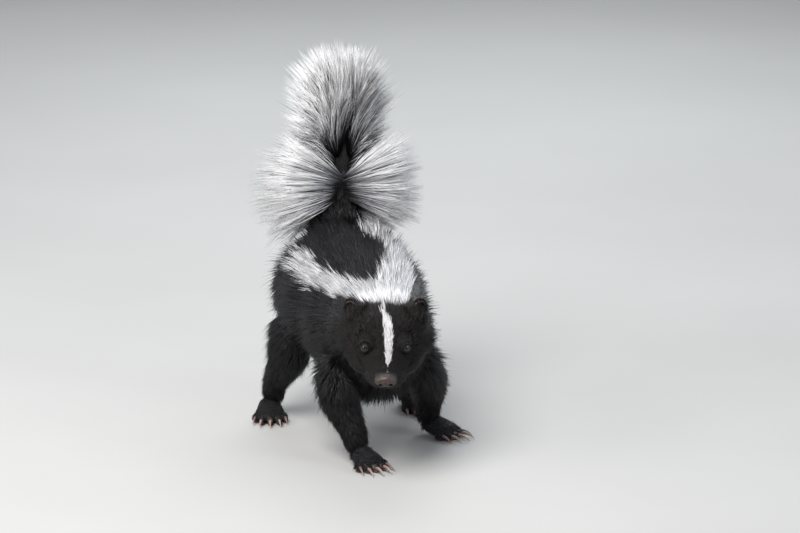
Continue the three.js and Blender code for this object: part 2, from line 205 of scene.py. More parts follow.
# where the coat is white
whiteMarks = {
    # edges as (y, degrees from the top of the back round an axis 76 mm above the floor)
    "axis": 76.0,
    "rightLow": [(-40, -24), (-20, -28), (0, -35), (12, -45), (27, -54), (40, -57), (58, -59), (77, -60),
                 (86, -58), (112, -50)],
    "rightHigh": [(-40, 0), (14, 0), (19, -12), (29, -29), (39, -35), (49, -38), (62, -40), (80, -40),
                  (90, -42), (112, -38)],
    "leftInner": [(-40, -4), (13, -4), (19, 6), (34, 19), (52, 27), (62, 27), (80, 22), (95, 19), (112, 16)],
    "leftOuter": [(-40, 26), (-30, 16), (-20, 22), (0, 33), (15, 45), (32, 51), (52, 53), (70, 50),
                  (90, 44), (112, 36)],
    "rearEnd": (114.0, 112.0),
    # front edge of the nape patch: x, y
    "napeEdge": [(-30, 14), (-24, 6), (-19, -2), (-14, -13), (-8, -21), (-4, -25), (4, -26), (10, -23),
                 (16, -15), (22, -3), (28, 10), (36, 24)],
    # the blaze down the face in the head's own frame: y, middle x, half width
    "blaze": [(9.5, 1.0, 0.1), (11.5, 1.2, 0.9), (14, 1.6, 1.7), (18, 1.7, 2.0), (22, 1.7, 2.3), (28, 1.7, 2.7),
              (34, 1.6, 2.7), (38, 1.2, 2.3), (41, 0.3, 1.3), (45, -0.6, 1.0), (60, -1.0, 1.0)],
}


def tableAt(table, x, column=1):
    rows = np.array(table, float)
    return np.interp(x, rows[:, 0], rows[:, column])


def bodyWhite(p, soft=1.2):
    m = whiteMarks
    y = p[:, 1]
    theta = np.degrees(np.arctan2(p[:, 0], p[:, 2] - m["axis"]))
    perDegree = np.hypot(p[:, 0], p[:, 2] - m["axis"]) * math.pi / 180
    right = np.minimum(theta - tableAt(m["rightLow"], y), tableAt(m["rightHigh"], y) - theta) * perDegree
    left = np.minimum(theta - tableAt(m["leftInner"], y), tableAt(m["leftOuter"], y) - theta) * perDegree
    right = np.minimum(right, (m["rearEnd"][0] - y) * 0.6)
    left = np.minimum(left, (m["rearEnd"][1] - y) * 0.6)
    inside = np.maximum(right, left)
    inside = np.minimum(inside, (y - tableAt(m["napeEdge"], p[:, 0])) * 0.75)
    inside = np.where(p[:, 2] < 60, -9, inside)
    # the right stripe is faint where it nears the tail
    faint = np.where(p[:, 0] < 0, 1 - 0.72 * smoothStep(82, 92, y), 1.0)
    return smoothStep(-soft, soft, inside + wander(p, 2.2, 1) * 1.1) * faint


def toHead(p):
    return (p - headAt) @ headTurn


def fromHead(h):
    return h @ headTurn.T + headAt


def faceWhite(p, soft=0.5):
    h = toHead(p)
    half = tableAt(whiteMarks["blaze"], h[:, 1], 2)
    inside = half - np.abs(h[:, 0] - tableAt(whiteMarks["blaze"], h[:, 1], 1))
    inside = np.where((h[:, 2] < 2) | (h[:, 1] < 6), -3, inside)
    blaze = smoothStep(-soft, soft, inside + wander(p, 1.4, 3) * 0.12)
    nape = bodyWhite(p) * smoothStep(50, 53, h[:, 1]) * (h[:, 2] > 4)
    return np.maximum(blaze, nape)


# materials
def newMaterial(name):
    material = bpy.data.materials.new(name)
    material.use_nodes = True
    tree = material.node_tree
    return material, tree, tree.nodes["Principled BSDF"]


def attribute(tree, name):
    node = tree.nodes.new("ShaderNodeAttribute")
    node.attribute_name = name
    return node.outputs["Fac"]


def ramp(tree, source, stops):
    node = tree.nodes.new("ShaderNodeValToRGB")
    while len(node.color_ramp.elements) < len(stops):
        node.color_ramp.elements.new(0.5)
    for element, (place, colour) in zip(node.color_ramp.elements, stops):
        element.position = place
        element.color = (*colour, 1)
    tree.links.new(source, node.inputs["Fac"])
    return node.outputs["Color"]


def mixed(tree, factor, a, b, how="MIX"):
    node = tree.nodes.new("ShaderNodeMix")
    node.data_type = "RGBA"
    node.blend_type = how
    for value, socket in ((factor, node.inputs["Factor"]), (a, node.inputs["A"]), (b, node.inputs["B"])):
        if isinstance(value, (float, int)):
            socket.default_value = value
        elif isinstance(value, tuple):
            socket.default_value = (*value, 1)
        else:
            tree.links.new(value, socket)
    return node.outputs["Result"]


def objectNoise(tree, scale, detail=3, rough=0.55):
    where = tree.nodes.new("ShaderNodeTexCoord")
    node = tree.nodes.new("ShaderNodeTexNoise")
    node.inputs["Scale"].default_value = scale
    node.inputs["Detail"].default_value = detail
    node.inputs["Roughness"].default_value = rough
    tree.links.new(where.outputs["Object"], node.inputs["Vector"])
    return node.outputs["Fac"]


def bumped(tree, shader, height, strength, distance):
    node = tree.nodes.new("ShaderNodeBump")
    node.inputs["Strength"].default_value = strength
    node.inputs["Distance"].default_value = distance
    tree.links.new(height, node.inputs["Height"])
    tree.links.new(node.outputs["Normal"], shader.inputs["Normal"])


def patchy(tree, source, low, high):
    return ramp(tree, source, [(0.3, low), (0.7, high)])


def setLook(tree, shader, colour, roughness, gloss=0.5, scatter=None):
    tree.links.new(colour, shader.inputs["Base Color"])
    shader.inputs["Roughness"].default_value = roughness
    shader.inputs["Specular IOR Level"].default_value = gloss
    if scatter:
        shader.inputs["Subsurface Weight"].default_value, shader.inputs["Subsurface Scale"].default_value = scatter


def furMaterial(name, dark, pale, roughness, gloss):
    # dark and pale are the colours from root to tip where the mark is 0 and 1
    material, tree, shader = newMaterial(name)
    along = attribute(tree, "along")
    colour = mixed(tree, attribute(tree, "mark"), ramp(tree, along, dark), ramp(tree, along, pale))
    # the tint channel darkens hairs at random, and on the body coat it also carries painted shade on the tail's stem
    # and low on the legs
    toneAndShade = ramp(tree, attribute(tree, "toneAndShade"), [(0, (0.35, 0.34, 0.34)), (0.5, (0.88, 0.88, 0.88)), (1, (1, 1, 1))])
    patch = patchy(tree, objectNoise(tree, 90), (0.82, 0.82, 0.84), (1, 1, 1))
    colour = mixed(tree, 1.0, mixed(tree, 1.0, colour, toneAndShade, "MULTIPLY"), patch, "MULTIPLY")
    setLook(tree, shader, colour, roughness, gloss)
    return material


# black hair is darkest at the root; its lighter, bluish tips are a painted sheen
blackRoot, blackSheenTip = (0.0045, 0.0043, 0.0048), (0.021, 0.0215, 0.0265)
bodyFur = furMaterial(
    "bodyFur",
    [(0, blackRoot), (0.45, (0.012, 0.0115, 0.013)), (1, blackSheenTip)],
    [(0, (0.42, 0.42, 0.45)), (0.3, (0.86, 0.86, 0.89)), (1, (0.96, 0.96, 0.97))],
    0.42, 0.45,
)
# face hair is brown-black, and its lighter tips are partly that brown and partly a painted sheen
faceFur = furMaterial(
    "faceFur",
    [(0, (0.004, 0.0032, 0.0028)), (0.5, (0.0065, 0.005, 0.0043)), (1, (0.0150, 0.0118, 0.0104))],
    [(0, (0.50, 0.49, 0.50)), (0.3, (0.86, 0.85, 0.86)), (1, (0.95, 0.95, 0.95))],
    0.5, 0.3,
)
tailFur = furMaterial(
    "tailFur",
    [(0, blackRoot), (0.5, (0.014, 0.0135, 0.015)), (0.8, (0.035, 0.035, 0.04)), (1, (0.06, 0.06, 0.068))],
    [(0, (0.006, 0.006, 0.007)), (0.28, (0.012, 0.012, 0.014)), (0.44, (0.45, 0.45, 0.48)),
     (0.6, (0.97, 0.97, 0.98))],
    0.42, 0.45,
)


def skinMaterial(name, dark, pale, roughness):
    material, tree, shader = newMaterial(name)
    colour = mixed(tree, attribute(tree, "mark"), dark, pale)
    patch = patchy(tree, objectNoise(tree, 260), (0.6, 0.6, 0.6), (1, 1, 1))
    bumped(tree, shader, objectNoise(tree, 900, 2), 0.35, 0.0004)
    setLook(tree, shader, mixed(tree, 1.0, colour, patch, "MULTIPLY"), roughness)
    return material


underCoat = skinMaterial("underCoat", (0.008, 0.0075, 0.008), (0.45, 0.44, 0.46), 0.8)


def padMaterial(name, deep, light, scale, roughness, depth, covered=None, gloss=0.5):
    material, tree, shader = newMaterial(name)
    where = tree.nodes.new("ShaderNodeTexCoord")
    cells = tree.nodes.new("ShaderNodeTexVoronoi")
    cells.inputs["Scale"].default_value = scale
    tree.links.new(where.outputs["Object"], cells.inputs["Vector"])
    colour = ramp(tree, objectNoise(tree, scale * 0.14), [(0.3, deep), (0.75, light)])
    if covered:
        # dark where the skin lies under hair, as the mark says
        colour = mixed(tree, attribute(tree, "mark"), covered, colour)
    bumped(tree, shader, cells.outputs["Distance"], 0.5, depth)
    setLook(tree, shader, colour, roughness, gloss, (0.08, 0.001))
    return material


noseSkin = padMaterial("noseSkin", (0.028, 0.018, 0.0165), (0.062, 0.041, 0.038), 2400, 0.31, 0.00015)
pawSkin = padMaterial(
    "pawSkin", (0.10, 0.056, 0.052), (0.24, 0.135, 0.125), 1500, 0.55, 0.0003, (0.011, 0.0095, 0.0092)
)
lidSkin = padMaterial(
    "lidSkin", (0.014, 0.012, 0.012), (0.028, 0.0245, 0.025), 6000, 0.55, 0.00003, (0.0045, 0.0038, 0.0035), 0.2
)


def plainMaterial(name, colour, roughness):
    material, tree, shader = newMaterial(name)
    shade = patchy(tree, objectNoise(tree, 500), tuple(c * 0.75 for c in colour), colour)
    setLook(tree, shader, shade, roughness)
    return material


eyeGloss = plainMaterial("eyeGloss", (0.0016, 0.0012, 0.0011), 0.05)
whiskerHorn = plainMaterial("whiskerHorn", (0.03, 0.028, 0.028), 0.4)


def clawMaterial():
    material, tree, shader = newMaterial("clawHorn")
    stripes = objectNoise(tree, 1500, 4, 0.7)
    colour = mixed(tree, attribute(tree, "along"), (0.13, 0.08, 0.075), (0.36, 0.27, 0.235))
    streak = patchy(tree, stripes, (0.8, 0.78, 0.76), (1, 1, 1))
    bumped(tree, shader, stripes, 0.2, 0.0001)
    setLook(tree, shader, mixed(tree, 1.0, colour, streak, "MULTIPLY"), 0.35, scatter=(0.15, 0.0008))
    return material


clawHorn = clawMaterial()
print("materials ready")

# forms of the body
torso = {
    "stations": [((0, -22, 74), (26, 29, 31)), ((0, 4, 73), (37, 37, 40)), ((0, 38, 76), (40, 40, 41)),
                 ((0, 72, 80), (44.5, 41, 45)), ((0, 102, 82), (46, 40, 43)), ((0, 124, 82), (38, 33, 35)),
                 ((0, 138, 82), (26, 21, 23))],
    "blunt": (0.16, 0.16), "skinDepth": 8.5,
    "fur": [(0, 17), (0.2, 21), (0.6, 23), (1, 22)], "rise": [(0, 34), (1, 34)], "droop": 0.45,
}
neck = {
    "stations": [((-4, -34, 86), (22, 18, 17)), ((-2.5, -18, 86), (27, 22, 24)), ((-1, 0, 82), (31, 27, 30)),
                 ((0, 16, 78), (31, 30, 32))],
    "blunt": (0.2, 0.3), "skinDepth": 6,
    "fur": [(0, 13), (1, 18)], "rise": [(0, 33), (1, 33)], "droop": 0.2,
}
legReaches = {
    "fore": [(16, 19, 19), (14.5, 17, 17), (12.5, 14, 14), (11, 12, 12), (9.5, 11, 11)],
    "hind": [(21, 27, 27), (18, 24, 24), (13, 17, 17), (10.5, 12, 12), (9.5, 11, 11)],
}
legLines = {
    "fore_right": [(-24, 6, 74), (-28, 7, 54), (-26, 1, 36), (-21, -10, 20), (-18.5, -17, 5)],
    "fore_left": [(24, 6, 74), (30, 14, 54), (36, 24, 36), (38, 31, 20), (38, 33, 5)],
    "hind_right": [(-24, 104, 80), (-32, 96, 58), (-39, 91, 40), (-45, 99, 22), (-47, 102, 5)],
    "hind_left": [(24, 102, 80), (32, 95, 58), (38, 89, 40), (41, 97, 22), (41, 100, 5)],
}
legs = {
    name: {"stations": list(zip(line, legReaches[name[:4]])), "blunt": (0.25, 0.12), "up": (0, -1, 0),
           "skinDepth": 3.6, "fur": [(0, 18), (0.3, 13.5), (0.55, 10), (0.8, 8.5), (1, 8)],
           "rise": [(0, 27), (0.6, 24), (1, 9)], "droop": 0.0}
    for name, line in legLines.items()
}
tailStem = {
    "stations": [((1, 110, 92), (16, 15, 15)), ((1, 122, 108), (18, 16, 16)), ((2, 128, 120), (17, 14, 14)),
                 ((3, 131, 133), (14, 11, 11))],
    "blunt": (0.25, 0.25), "up": (0, -1, 0), "skinDepth": 5.5,
    "fur": [(0, 20), (1, 17)], "rise": [(0, 34), (1, 30)], "droop": 0.0,
}
tailCore = {
    "stations": [((2, 126, 116), (11, 10, 10)), ((3.5, 131, 132), (9, 8.5, 8.5)),
                 ((5.5, 131.5, 155), (7.5, 7, 7)), ((7, 129, 180), (6, 5.5, 5.5)), ((8, 125, 203), (3.5, 3.2, 3.2))],
    "blunt": (0.1, 0.15), "up": (0, -1, 0),
    "fur": [(0, 16), (0.16, 10), (0.3, 5.5), (1, 5)], "rise": [(0, 26), (0.3, 18), (1, 16)], "droop": 0.0,
}
feet = {
    "fore_right": {"heel": (-19.5, -12), "heading": 14, "long": 30, "wide": 9.5, "high": 9.5, "claw": 8},
    "fore_left": {"heel": (36, 38), "heading": 38, "long": 30, "wide": 9.5, "high": 9.5, "claw": 8},
    "hind_right": {"heel": (-47, 109), "heading": -12, "long": 38, "wide": 9.5, "high": 9, "claw": 5},
    "hind_left": {"heel": (41, 107), "heading": 8, "long": 38, "wide": 9.5, "high": 9, "claw": 5},
}
toes = {
    "spread": (-0.78, -0.42, 0, 0.42, 0.78), "reach": (0.8, 0.96, 1, 0.96, 0.8), "fan": 17, "pad": 1.3,
    "hairs": 3900, "fur": [(0, 5.0), (0.5, 3.6), (0.8, 2.6), (1, 1.6)],
}

bm = bmesh.new()
addForm(bm, torso, 96, 72, -torso["skinDepth"])
addForm(bm, neck, 72, 40, -neck["skinDepth"])
for name, leg in legs.items():
    for v in addForm(bm, leg, 48, 48, lambda t: -leg["skinDepth"] - 5.5 * smoothStep(0.5, 0.08, t)):
        v.co.z = max(v.co.z, 1.2)
addForm(bm, tailStem, 48, 40, -tailStem["skinDepth"])
addForm(bm, tailCore, 32, 48, -0.5)
bodySkin = relaxedSkin(bm, "skin_body", 1.5, 22)
print("body skin", len(bodySkin.polygons))

# head
skull = {
    "stations": [((0, 1.5, -0.5), (6.5, 4, 4)), ((0, 6, -1), (9.5, 6, 8)), ((0, 13, -1), (12.5, 9, 11)),
                 ((0, 21, -0.5), (17, 12.5, 14)), ((0, 30, 0), (22.5, 17, 17)), ((0, 41, 0.5), (26, 20.5, 19)),
                 ((0, 52, 0), (26.5, 21.5, 19.5)), ((0, 65, 0), (22, 18, 17))],
    "blunt": (0.12, 0.22),
    "depth": [(0, 0.7), (0.15, 0.9), (0.35, 1.9), (0.6, 4.2), (1, 5.0)],
}
jaw = {
    "stations": [((0, 5.5, -8.5), (5.5, 2, 3)), ((0, 12, -9.5), (8.5, 3, 4.5)),
                 ((0, 20, -10.5), (11.5, 3.5, 6)), ((0, 29, -11.5), (14, 3, 6.5))],
    "blunt": (0.25, 0.25), "depth": 0.9,
}
lips = [((1.5, 3.6, -5.6), 1.1), ((6, 6.5, -6.6), 1.3), ((9.8, 13, -8), 1.35), ((12.8, 21, -9), 1.1)]


def onSide(side, place):
    return np.array([side * place[0], place[1], place[2]])


gaze = {side: Vector(onSide(side, eyeShape["gaze"])).normalized() for side in (1, -1)}
eyeAt = {side: Vector(onSide(side, eyeShape["at"])) for side in (1, -1)}
earShape = {"at": (21.0, 54, 14.6), "radii": (4.5, 2.6, 5.2), "lean": -14, "turn": 26, "hairs": 1900, "hair": 3.0}
earAt = {side: onSide(side, earShape["at"]) for side in (1, -1)}


def fromEye(h, side):
    # from the middle of an eyeball: all of the way, how far along the gaze, and what is across it
    away = h - np.array(eyeAt[side])
    along = away @ np.array(gaze[side])
    return away, along, away - along[:, None] * np.array(gaze[side])


bm = bmesh.new()
addForm(bm, skull, 96, 90, lambda t: -tableAt(skull["depth"], t), headMatrix)
for side in (1, -1):
    addTube(bm, [(side * p[0], p[1], p[2]) for p, r in lips], [r for p, r in lips], 12, headMatrix)
    # brow, the mound behind the eye, whisker pad and cheek
    addBall(bm, (side * 11.0, 27.5, 9.4), (4.4, 6.4, 2.8), headMatrix)
    addBall(bm, (side * 5.4, 7.5, -3.6), (4.6, 5.4, 3.9), headMatrix)
    addBall(bm, (side * 12.2, 30, -5.0), (7.2, 11, 7.6), headMatrix)
faceSkin = relaxedSkin(bm, "skin_head", 0.6, 5)
bm = bmesh.new()
addForm(bm, jaw, 48, 40, -jaw["depth"], headMatrix)
jawSkin = relaxedSkin(bm, "skin_jaw", 0.6, 3)
print("head skin", len(faceSkin.polygons))


def sinkEyes(mesh):
    # the skin dips where each eyeball sits, so that only the ball and its lids stand there
    co = coordsOf(mesh)
    h = toHead(co)
    for side in (1, -1):
        away, along, _ = fromEye(h, side)
        dip = (np.linalg.norm(away, axis=1) < eyeShape["radius"] + 0.15) & (along > -1)
        h[dip] = np.array(eyeAt[side]) + away[dip] * 0.55 - np.array(gaze[side])
    mesh.vertices.foreach_set("co", fromHead(h).ravel())
    mesh.update()


sinkEyes(faceSkin)

# coats of hair
def unwrap(mesh):
    # islands of the skin itself, laid out flat
    helper = addObject("unwrap", mesh)
    mesh.uv_layers.new(name="OFBake")
    bpy.context.view_layer.objects.active = helper
    helper.select_set(True)
    bpy.ops.object.mode_set(mode="EDIT")
    bpy.ops.mesh.select_all(action="SELECT")
    bpy.ops.uv.smart_project(angle_limit=math.radians(66), island_margin=0.004)
    bpy.ops.object.mode_set(mode="OBJECT")
    bpy.data.objects.remove(helper)


def sampleRoots(mesh, count, density=None):
    mesh.calc_loop_triangles()
    tris = readAll(mesh.loop_triangles, "vertices", 3, int)
    uv = readAll(mesh.uv_layers["OFBake"].data, "uv", 2)[readAll(mesh.loop_triangles, "loops", 3, int)]
    normals = readAll(mesh.vertices, "normal", 3)
    corner = coordsOf(mesh)[tris]
    area = np.linalg.norm(np.cross(corner[:, 1] - corner[:, 0], corner[:, 2] - corner[:, 0]), axis=1)
    if density is not None:
        area = area * density(corner.mean(1))
    edges = np.cumsum(area)
    # stepped picks spread the roots evenly over the surface
    picks = np.searchsorted(edges, (np.arange(count) + rng.random(count)) / count * edges[-1])
    picks = np.minimum(picks, len(tris) - 1)
    a, b = rng.random(count), rng.random(count)
    flip = a + b > 1
    a, b = np.where(flip, 1 - a, a), np.where(flip, 1 - b, b)
    weight = np.stack([1 - a - b, a, b], 1)[:, :, None]
    return {
        "p": (corner[picks] * weight).sum(1),
        "n": unit((normals[tris[picks]] * weight).sum(1)),
        "uv": (uv[picks] * weight).sum(1),
    }


def pick(roots, keep):
    return {key: value[keep] for key, value in roots.items()}


def clumpPartners(p, perClump, seed):
    # each hair's clump leader
    chooser = np.random.default_rng(seed)
    count = max(1, len(p) // perClump)
    leaders = chooser.choice(len(p), count, replace=False)
    tree = KDTree(count)
    for k, i in enumerate(leaders):
        tree.insert(p[i], k)
    tree.balance()
    return leaders[[tree.find(q)[1] for q in p]]


hairShape = {"floor": 0.15, "thickness": 0.42, "profile": (0.75, 1.0, 0.82, 0.55, 0.3)}


def growCoat(name, roots, material, slotName, levels, nodes=(), clump=10, pull=0.5, seed=1):
    # tapered, closed hairs: three corners at each level and one tip
    floor = hairShape["floor"]
    p, n, heading, length, width = (roots[key] for key in ("p", "n", "heading", "length", "width"))
    count = len(p)
    s = (np.arange(levels + 1) / levels)[None, :, None]
    start = p - n * roots["sink"][:, None]
    path = start[:, None] + length[:, None, None] * (heading[:, None] * s + roots["bend"][:, None] * s**2)
    partner = clumpPartners(p + heading * length[:, None] * 0.25, clump, seed)
    pulled = pull * s**1.4 * roots.get("pull", np.ones(count))[:, None, None]
    path = path + (path[partner] - path) * pulled
    path[:, :, 2] = np.maximum(path[:, :, 2], floor)
    direction = np.empty_like(path)
    direction[:, :-1] = path[:, 1:] - path[:, :-1]
    direction[:, -1] = direction[:, -2]
    direction = unit(direction)
    flat = roots.get("face", n)[:, None] + np.zeros_like(path)
    side = unit(np.cross(flat, direction))
    flat = unit(np.cross(direction, side))
    profile = np.array(hairShape["profile"])[np.round(np.linspace(0, 4, levels + 1)).astype(int)]
    half = (width[:, None] * profile[None, :] / 2)[:, :levels, None]
    ring = path[:, :levels]
    corners = np.stack([ring - side[:, :levels] * half, ring + side[:, :levels] * half,
                        ring + flat[:, :levels] * half * 2 * hairShape["thickness"]], 2)
    vertices = np.concatenate([corners.reshape(count, levels * 3, 3), path[:, levels:]], 1)
    vertices[:, :, 2] = np.maximum(vertices[:, :, 2], floor)
    perHair = levels * 3 + 1
    faces = [(0, 2, 1)]
    for k in range(levels - 1):
        for i in range(3):
            j = (i + 1) % 3
            faces += [(k * 3 + i, k * 3 + j, k * 3 + 3 + j), (k * 3 + i, k * 3 + 3 + j, k * 3 + 3 + i)]
    last = (levels - 1) * 3
    faces += [(last + i, last + (i + 1) % 3, perHair - 1) for i in range(3)]
    faces = np.array(faces)
    index = (faces[None] + (np.arange(count) * perHair)[:, None, None]).reshape(-1)
    mesh = bpy.data.meshes.new(name)
    mesh.vertices.add(count * perHair)
    mesh.vertices.foreach_set("co", vertices.reshape(-1))
    mesh.loops.add(len(index))
    mesh.loops.foreach_set("vertex_index", index)
    mesh.polygons.add(len(index) // 3)
    mesh.polygons.foreach_set("loop_start", np.arange(0, len(index), 3))
    mesh.polygons.foreach_set("use_smooth", np.ones(len(index) // 3, bool))
    mesh.update(calc_edges=True)
    level = np.append(np.repeat(np.arange(levels) / levels, 3), 1.0)
    early = roots.get("early", np.zeros(count))[:, None] * 0.42
    pointValues(mesh, "along", (early + (1 - early) * level[None]).reshape(-1))
    pointValues(mesh, "mark", np.repeat(roots["mark"], perHair))
    pointValues(mesh, "toneAndShade", np.repeat(roots["toneAndShade"], perHair))
    spread = np.append(np.tile([-1.0, 1.0, 0.0], levels), 0.0) * 0.0015
    patch = np.stack([spread, level * 0.003 - 0.0015], 1)
    flatUv = np.clip(roots["uv"][:, None] + patch[None], 0.0, 1.0).reshape(-1, 2)
    layer = mesh.uv_layers.new(name="OFBake")
    layer.data.foreach_set("uv", flatUv[index].astype(np.float32).ravel())
    print(name, count, "hairs", len(index) // 3, "triangles")
    finishPiece(name, mesh, material, nodes)


def tangential(v, n):
    return unit(v - n * (v * n).sum(1, keepdims=True))


def turnedBy(v, axis, angle):
    return v * np.cos(angle)[:, None] + np.cross(axis, v) * np.sin(angle)[:, None]


def dressHairs(roots, lie, rise, length, width, bend, jitter, seed, sink=0.5):
    # completes a set of roots with the way each hair leaves the skin
    p, n = roots["p"], roots["n"]
    count = len(p)
    swing = wander(p, 7, seed) * 1.2 + wander(p, 2.6, seed + 5) * 0.8 + rng.normal(0, 0.45, count)
    lie = turnedBy(tangential(lie, n), n, np.radians(jitter) * swing)
    guard = rng.random(count) < 0.09
    lift = np.radians(rise * (1 + 0.3 * wander(p, 5, seed + 9) + rng.normal(0, 0.16, count)) + 7 * guard)
    roots["heading"] = lie * np.cos(lift)[:, None] + n * np.sin(lift)[:, None]
    roots["bend"] = -n * (bend * np.sin(lift))[:, None]
    roots["length"] = length * (0.8 + 0.35 * rng.random(count)) * (1 + 0.1 * wander(p, 6, seed + 2))
    roots["length"] = roots["length"] * np.where(guard, 1.27, 1.0)
    roots["width"] = width * (0.75 + 0.5 * rng.random(count)) * np.where(guard, 0.62, 1.0)
    roots["pull"] = np.where(guard, 0.25, 1.0)
    roots["sink"] = np.full(count, sink)
    roots["mark"] = np.zeros(count)
    roots["toneAndShade"] = np.clip(0.5 + 0.28 * rng.normal(0, 1, count) * 0.6 + 0.2 * wander(p, 4, seed + 3), 0, 1)
    return roots


# the trunk, legs and tail root, each with its own lie
parts = [torso, neck, *legs.values(), tailStem, tailCore]
partTables = []
for part in parts:
    t = np.linspace(0, 1, 40)
    centres = curvePoint([s[0] for s in part["stations"]], t)
    reach = curvePoint([s[1] for s in part["stations"]], t).mean(1)
    ahead = unit(np.gradient(centres, axis=0))
    partTables.append((centres, reach, ahead, t))


def bodyLie(p):
    near, facts = [], []
    for part, (centres, reach, ahead, t) in zip(parts, partTables):
        far = np.linalg.norm(p[:, None] - centres[None], axis=2) / reach[None]
        i = far.argmin(1)
        near.append(far[np.arange(len(p)), i])
        lie = ahead[i].copy()
        away = unit(p - centres[i])
        lie[:, 2] -= part["droop"] * np.abs(away[:, 0]) + 0.1 * (away[:, 2] < 0)
        if part in legs.values():
            lie[:, 1] += 0.35
        facts.append((lie, tableAt(part["fur"], t[i]), tableAt(part["rise"], t[i])))
    near = np.array(near)
    weight = np.exp(-(near - near.min(0)) / 0.13)
    weight /= weight.sum(0)
    lie = sum(w[:, None] * unit(f[0]) for w, f in zip(weight, facts))
    return lie, sum(w * f[1] for w, f in zip(weight, facts)), sum(w * f[2] for w, f in zip(weight, facts))


bodyCoat = {"hairs": 82000, "width": 0.66, "curl": 0.3, "jitter": 14, "clump": 8, "pull": 0.36, "levels": 2}


def bodyDensity(p):
    # finer hair low on the legs, and a sparser one along the tail inside the plume
    low = smoothStep(45, 15, p[:, 2])
    return (1 + 1.1 * low) * np.where((p[:, 2] > 136) & (p[:, 1] > 100), 0.55, 1.0)


def treeOf(mesh, matrix=Matrix()):
    return BVHTree.FromPolygons([matrix @ v.co for v in mesh.vertices], [f.vertices[:] for f in mesh.polygons])


def insideOf(tree, p, near, depth=0.6):
    # which of the points near the tree's surface lie under it
    inside = np.zeros(len(p), bool)
    for i in np.flatnonzero(near):
        spot, normal, _, _ = tree.find_nearest(Vector(p[i]), 25)
        if spot is not None:
            inside[i] = (Vector(p[i]) - spot).dot(normal) < -depth
    return inside


def marksFor(roots, white, lie, share, *soft):
    # a hair is white or dark as the coat is part of the way along it
    chance = white(roots["p"] + tangential(lie, roots["n"]) * roots["length"][:, None] * share, *soft)
    return (chance > rng.random(len(chance))).astype(float)


unwrap(bodySkin)
roots = sampleRoots(bodySkin, bodyCoat["hairs"], bodyDensity)
hidden = insideOf(treeOf(faceSkin), roots["p"], roots["p"][:, 1] < 5)
roots = pick(roots, ~hidden & (roots["p"][:, 2] > 2.0))
lie, length, rise = bodyLie(roots["p"])
slim = np.clip(length / 15, 0.5, 1.0)
roots = dressHairs(roots, lie, rise, length, bodyCoat["width"] * slim, bodyCoat["curl"], bodyCoat["jitter"], 2)
height = roots["p"][:, 2]
# painted shade: darker on the tail's stem and low on the legs, where shadow falls
shade = np.maximum(smoothStep(96, 112, height) * (roots["p"][:, 1] > 90), 0.45 * smoothStep(62, 40, height))
roots["toneAndShade"] = roots["toneAndShade"] * (1 - 0.9 * shade)
roots["mark"] = marksFor(roots, bodyWhite, lie, 0.5, 0.8)
roots["length"] = roots["length"] * (1 + 0.12 * roots["mark"])
pale = roots["mark"] > 0.5
coatArgs = {key: bodyCoat[key] for key in ("levels", "clump", "pull")}
order = np.argsort(roots["p"][:, 1])
dark = order[~pale[order]]
bundles = np.array_split(dark, 6)
pointValues(bodySkin, "mark", bodyWhite(coordsOf(bodySkin), 1.5))
covered = ("torso", "neck", "tail_stem", *[name + "_leg" for name in legs])
finishPiece("skin_body", bodySkin, underCoat, covered)
for k, chosen in enumerate(bundles):
    growCoat(f"coat_body_{k + 1}", pick(roots, chosen), bodyFur, "black_fur", seed=20 + k, **coatArgs)
growCoat("coat_white", pick(roots, np.flatnonzero(pale)), bodyFur, "white_fur", seed=30, **coatArgs)

# coat of the head
headCoat = {
    "hairs": 33000, "jawHairs": 3600, "curl": 0.3, "jitter": 10, "clump": 6, "pull": 0.3, "levels": 2,
    # by distance behind the tip of the nose
    "length": [(0, 1.1), (8, 1.9), (18, 3.4), (28, 5.6), (40, 9.0), (60, 12.0)],
    "rise": [(0, 19), (12, 24), (25, 29), (40, 33), (60, 37)],
}


def headLie(p):
    h = toHead(p)
    lie = h - np.array([0, -6.0, 1.0])
    lie[:, 2] -= 0.25 * np.abs(h[:, 0]) * smoothStep(10, 40, h[:, 1])
    length = tableAt(headCoat["length"], h[:, 1])
    cheek = smoothStep(9, 19, np.abs(h[:, 0])) * smoothStep(12, -4, h[:, 2]) * smoothStep(19, 32, h[:, 1])
    under = smoothStep(-6, -14, h[:, 2])
    length = length * (1 + 1.1 * cheek + 0.5 * under * smoothStep(14, 30, h[:, 1]))
    rise = tableAt(headCoat["rise"], h[:, 1]) + 9 * cheek
    # hair parts round each eye
    for side in (1, -1):
        away = fromEye(h, side)[0]
        far = np.linalg.norm(away, axis=1)
        close = smoothStep(9, 3.5, far)[:, None]
        parting = away / np.maximum(far, 1)[:, None] * np.linalg.norm(lie, axis=1, keepdims=True)
        lie = lie * (1 - 0.55 * close) + parting * 0.55 * close
        length = length * (1 - 0.5 * smoothStep(8, 4, far))
        # and stands up in front of the ears
        foot = earAt[side] - np.array([side * 1.5, 5, 4])
        close = smoothStep(12, 4, np.linalg.norm(h - foot, axis=1))
        lie = lie + np.array([side * 0.25, 0, 1.0]) * (close * 2.2 * np.linalg.norm(lie, axis=1))[:, None]
        length = length * (1 + 0.35 * close)
        rise = rise + 14 * close
    return lie @ headTurn.T, length, rise


def clearOfFace(p):
    # no root on the eyeballs, lids or nose pad
    h = toHead(p)
    keep = np.ones(len(p), bool)
    for side in (1, -1):
        _, along, off = fromEye(h, side)
        keep &= ~((np.linalg.norm(off, axis=1) < 2.9) & (along > -1.5))
    keep &= ~((h[:, 1] < 5.2) & (np.abs(h[:, 0]) < 6.6) & (h[:, 2] > -3.6))
    return keep


unwrap(faceSkin)
unwrap(jawSkin)
bodyRoom = treeOf(bodySkin, intoFrame.inverted())


def headDensity(p):
    h = toHead(p)
    return 1 + 2.6 * smoothStep(34, 10, h[:, 1])


